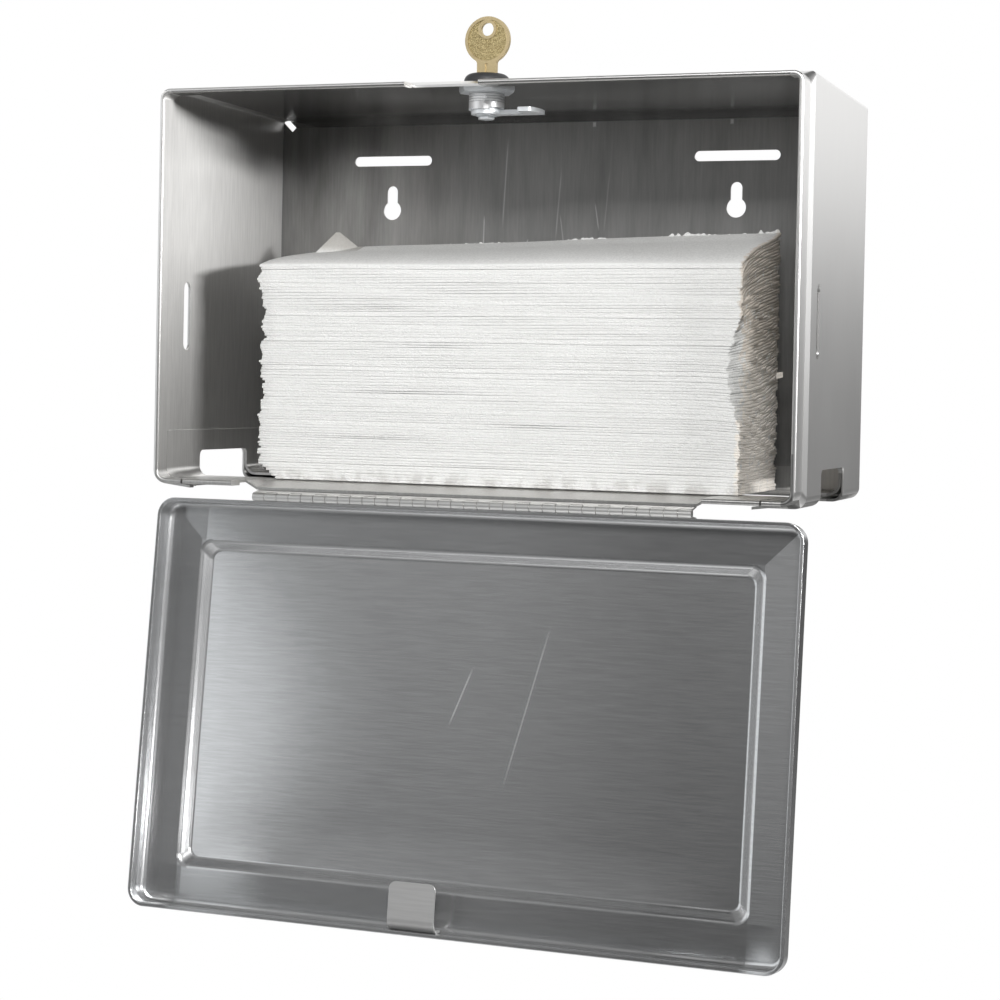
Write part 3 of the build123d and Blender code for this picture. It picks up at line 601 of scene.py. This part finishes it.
# %% Measures of the stack
chance = random.Random(5)
weights = [chance.uniform(0.8, 1.2) for _ in range(layer_count)]
middle = (stack_low + stack_high) / 2
# Out of line at the left end, the right end and the front, and the share kept from the towel below.
off_left, off_right, off_front, off_kept = 0.55 * MM, 0.11 * MM, 0.16 * MM, 0.8
end_wave, front_wave, heave_depth = 1.2 * MM, 0.15 * MM, 0.4 * MM
gaping_share = 0.16
# Torn back at the front right, between two heights of the stack, and worn at the lower left.
torn_from, torn_to, torn_depth, torn_reach = 0.30, 0.78, 7.0 * MM, 0.16
worn_depth, worn_height = 9.0 * MM, 7.5 * MM
# The rise to the rear, more at the right, the sag of the right end, the turned up rear of the top.
rise_left, rise_more, rise_power = 12.0 * MM, 7.0 * MM, 0.62
sag_depth, sag_start, sag_top = 9.0 * MM, 0.9, 0.8
turned_up, turn_start = 2.6 * MM, 0.9
print(layer_count, "towels of about", round(layer / MM, 2), "mm")


# %% How one towel lies on the next
class Lay:
    """How one towel lies on the one under it."""

    def __init__(self, number, level, thick, under):
        self.level, self.thick = level, thick
        self.share = number / (layer_count - 1)
        self.is_top = number == layer_count - 1
        left, right = (under.left, under.right) if under else (0.0, 0.0)
        self.left = off_kept * left + chance.gauss(0.0, off_left)
        self.right = off_kept * right + chance.gauss(0.0, off_right)
        self.shift_y = chance.gauss(0.0, off_front)
        self.front_line = ripple(number * 7 + 1, 4, 0.02, 0.14)
        self.gap_x = chance.uniform(-0.11, 0.11)
        self.gap_width = chance.uniform(0.012, 0.035)
        self.gap = chance.uniform(0.15, 0.45)
        if chance.random() > gaping_share:
            self.gap = 0.0
        torn = math.sin(math.pi * (self.share - torn_from) / (torn_to - torn_from))
        self.torn = torn_depth * max(0.0, torn) if torn_from < self.share < torn_to else 0.0
        self.worn = worn_depth * max(0.0, 1 - (level - stack_low.z) / worn_height)

    def end_shift(self, y, back, side):
        """How far the ends of the towel stand out or in."""
        shift = end_wave * end_line(y + 0.3 * self.share)
        if side > 0:
            return shift + self.right - self.torn * max(0.0, 1 - back / torn_reach)
        return shift + self.left + self.worn

    def height(self, x, z, along, back):
        """Height of a point once the stack is pressed into its wedge."""
        squeeze = 1.0 - self.gap * math.exp(-(((x - self.gap_x) / self.gap_width) ** 2))
        lift = self.level + self.thick / 2 + z / layer * self.thick * squeeze - stack_low.z
        lift += heave_depth * heave(x + self.share) * self.share
        lift *= 1 + (rise_left + rise_more * along) / front_height * back ** rise_power
        sag = (max(0.0, along - sag_start) / (1 - sag_start)) ** 2
        sag *= max(0.0, 1 - (2 * back - 0.9) ** 2) * min(1.0, 3 * self.share)
        lift -= sag_depth * sag * max(0.0, sag_top - self.share)
        if self.is_top:
            lift += turned_up * (max(0.0, back - turn_start) / (1 - turn_start)) ** 2
        return stack_low.z + lift

    def point(self, x, y, z):
        """Place of a point of the flat towel in the stack."""
        along = x / stack_width + 0.5
        back = min(1.0, max(0.0, y / stack_depth + 0.5))
        side = (along - 0.5) * 2
        new_x = middle.x + x + self.end_shift(y, back, side) * abs(side) ** 10
        new_y = middle.y + y + self.shift_y + front_wave * self.front_line(x)
        return (new_x, new_y, self.height(x, z, along, back))


print("Lay:", Lay.__doc__)

# %% Stacking the copies
unit = front_height / sum(weights)
level = stack_low.z
lay = None
sheets = []
for number, weight in enumerate(weights):
    lay = Lay(number, level, weight * unit, lay)
    copy = towel.copy()
    copy.data = towel.data.copy()
    copy.name = f"towel_{number}"
    bpy.context.collection.objects.link(copy)
    for vertex in copy.data.vertices:
        vertex.co = lay.point(*vertex.co)
    level += weight * unit
    sheets.append(copy)
print(len(sheets), "towels laid")


# %% [markdown]
# ## Torn paper
# The top towel was torn off, and left a ragged edge along the rear, a corner that stands up at the
# left and a small tab at the right end. Each starts as a flat grid whose points are moved by a
# rule, and a Solidify modifier gives it the thickness of paper.

# %% A torn sheet
def torn_sheet(name, rows, columns, shape):
    """A thin ragged sheet: shape gives a point for each place (0 to 1) along and up the sheet."""
    bpy.ops.object.select_all(action="DESELECT")
    bpy.ops.mesh.primitive_grid_add(x_subdivisions=columns, y_subdivisions=rows, size=1.0)
    sheet = bpy.context.object
    sheet.name = name
    for vertex in sheet.data.vertices:
        vertex.co = shape(vertex.co.x + 0.5, vertex.co.y + 0.5)
    bpy.ops.object.modifier_add(type="SOLIDIFY")
    sheet.modifiers[0].thickness = 0.35 * MM
    bpy.ops.object.modifier_apply(modifier=sheet.modifiers[0].name)
    sheets.append(sheet)
    print(name, "has", len(sheet.data.polygons), "faces")


rear_y = stack_high.y
rear_left, rear_right = stack_low.z + 115.0 * MM, stack_low.z + 122.0 * MM
ragged = ripple(91, 9, 0.002, 0.009)
patchy = ripple(92, 4, 0.02, 0.08)


def fringe(along, up):
    """Torn edge of the top towel, higher towards the right."""
    x = stack_low.x + 24.0 * MM + along * (stack_width - 25.0 * MM)
    tall = (0.9 + 1.3 * along ** 2) * MM * (1 + 0.8 * patchy(x)) + 1.7 * MM * ragged(x)
    share = (x - stack_low.x) / stack_width
    base = rear_left + (rear_right - rear_left) * share
    lean = 1.5 * MM * (1 - up) + 0.3 * MM * ragged(x + 0.4)
    return (x, rear_y - 1.2 * MM - lean, base - 1.2 * MM + up * (tall + 1.2 * MM))


def flap(along, up):
    """Corner of a towel that stands up at the rear left."""
    foot = Vector((-115.0, -50.0, -26.0)).lerp(Vector((-95.0, -33.5, -23.6)), along)
    tip = Vector((-108.5 + 2.0 * along, -38.0 + 0.6 * along, -14.2))
    bulge = Vector((1.2, -1.2, 0.0)) * math.sin(math.pi * up) * math.sin(math.pi * along)
    return (foot.lerp(tip, up ** 0.9) + bulge) * MM


def tab(along, up):
    """Small torn tab at the right end."""
    x = 119.5 + 6.8 * along
    z = -85.6 + 3.4 * up * (1 - 0.2 * along) + 1.0 * along ** 2
    return (x * MM, rear_y - (3.0 - 1.2 * along) * MM, z * MM)


torn_sheet("torn_fringe", 3, 260, fringe)
torn_sheet("torn_flap", 8, 8, flap)
torn_sheet("torn_tab", 3, 5, tab)

# %% Joining the stack
bpy.ops.object.select_all(action="DESELECT")
for sheet in sheets:
    sheet.select_set(True)
bpy.context.view_layer.objects.active = sheets[0]
bpy.ops.object.join()
towels = bpy.context.object
towels.name = "towel_folds"
bpy.data.objects.remove(towel)
bpy.ops.object.shade_smooth_by_angle(angle=math.radians(50))
triangles = sum(len(face.vertices) - 2 for face in towels.data.polygons)
print("towels:", triangles, "triangles")

# %% [markdown]
# ## Paper
# Towel paper is a soft white crepe without any gloss, with painted shade in the hollows of the
# crepe, more on the top than on the front. The torn right end is painted brown as painted shade,
# darker above and lighter below, with a frayed line between brown and white. The corner that
# stands up is painted grey as painted shade, and the lowest towels are greyer in patches.

# %% White crepe
paper = Surface("towel_paper", Roughness=0.92, Specular_IOR_Level=0.15)
crepe_per_metre = 900.0
crepe = paper.noise(paper.object, crepe_per_metre, 4.0, 0.65)
blotch = paper.noise(paper.object, 38.0, 3.0)
# painted shade: the hollows of the crepe are painted darker, more on the top than on the front
inner = paper.spread(paper.y, stack_low.y + 1.5 * MM, stack_low.y + 6.0 * MM)
painted_crepe_shade = paper.spread(crepe, 0.3, 0.7) * (0.12 + inner * 0.3)
white_paper = paper.mix(blotch, (0.83, 0.828, 0.81), (0.89, 0.888, 0.875))
white_paper = paper.mix(painted_crepe_shade, white_paper, (0.55, 0.55, 0.54))
paper.bump(crepe, 0.6, 1.2 * MM)
print("the crepe is", round(1 / crepe_per_metre / MM, 1), "mm wide")

# %% Painted shade on the brown end and the corner, and a grey foot
frayed = paper.noise(paper.object, 260.0, 3.0, 0.6) - 0.5
# painted shade: the right end is painted brown, darker above and lighter towards the bottom
brown_end = paper.spread(paper.x + frayed * (8.0 * MM), 121.3 * MM, 123.3 * MM)
lower_half = paper.fade(paper.z, -95.0 * MM, -62.0 * MM)
brown = paper.mix(lower_half, (0.64, 0.57, 0.49), (0.96, 0.90, 0.82))
paper_with_painted_shade = paper.mix(brown_end * 0.85, white_paper, brown)
# painted shade: the corner that stands up at the rear left is painted grey
shaded = paper.spread(paper.z, -27.0 * MM, -21.0 * MM) * (paper.x < -94.0 * MM)
paper_with_painted_shade = paper.mix(shaded * 0.75, paper_with_painted_shade, (0.40, 0.38, 0.35))
# the lowest towels are greyer in patches
foot = paper.fade(paper.z, -140.0 * MM, -130.0 * MM)
grey_foot_patches = paper.spread(paper.noise(paper.object, 110.0, 4.0, 0.6), 0.42, 0.62) * foot
paper.set("Base Color", paper.mix(grey_foot_patches * 0.6, paper_with_painted_shade, (0.44, 0.425, 0.40)))
towels.data.materials.clear()
towels.data.materials.append(paper.material)
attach(towels, "cabinet")
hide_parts("towel_stack")
print(paper.material.name, "on", towels.name)

# %% [markdown]
# ## The end
# The scene is brought up to date.

# %% The end
bpy.context.view_layer.update()
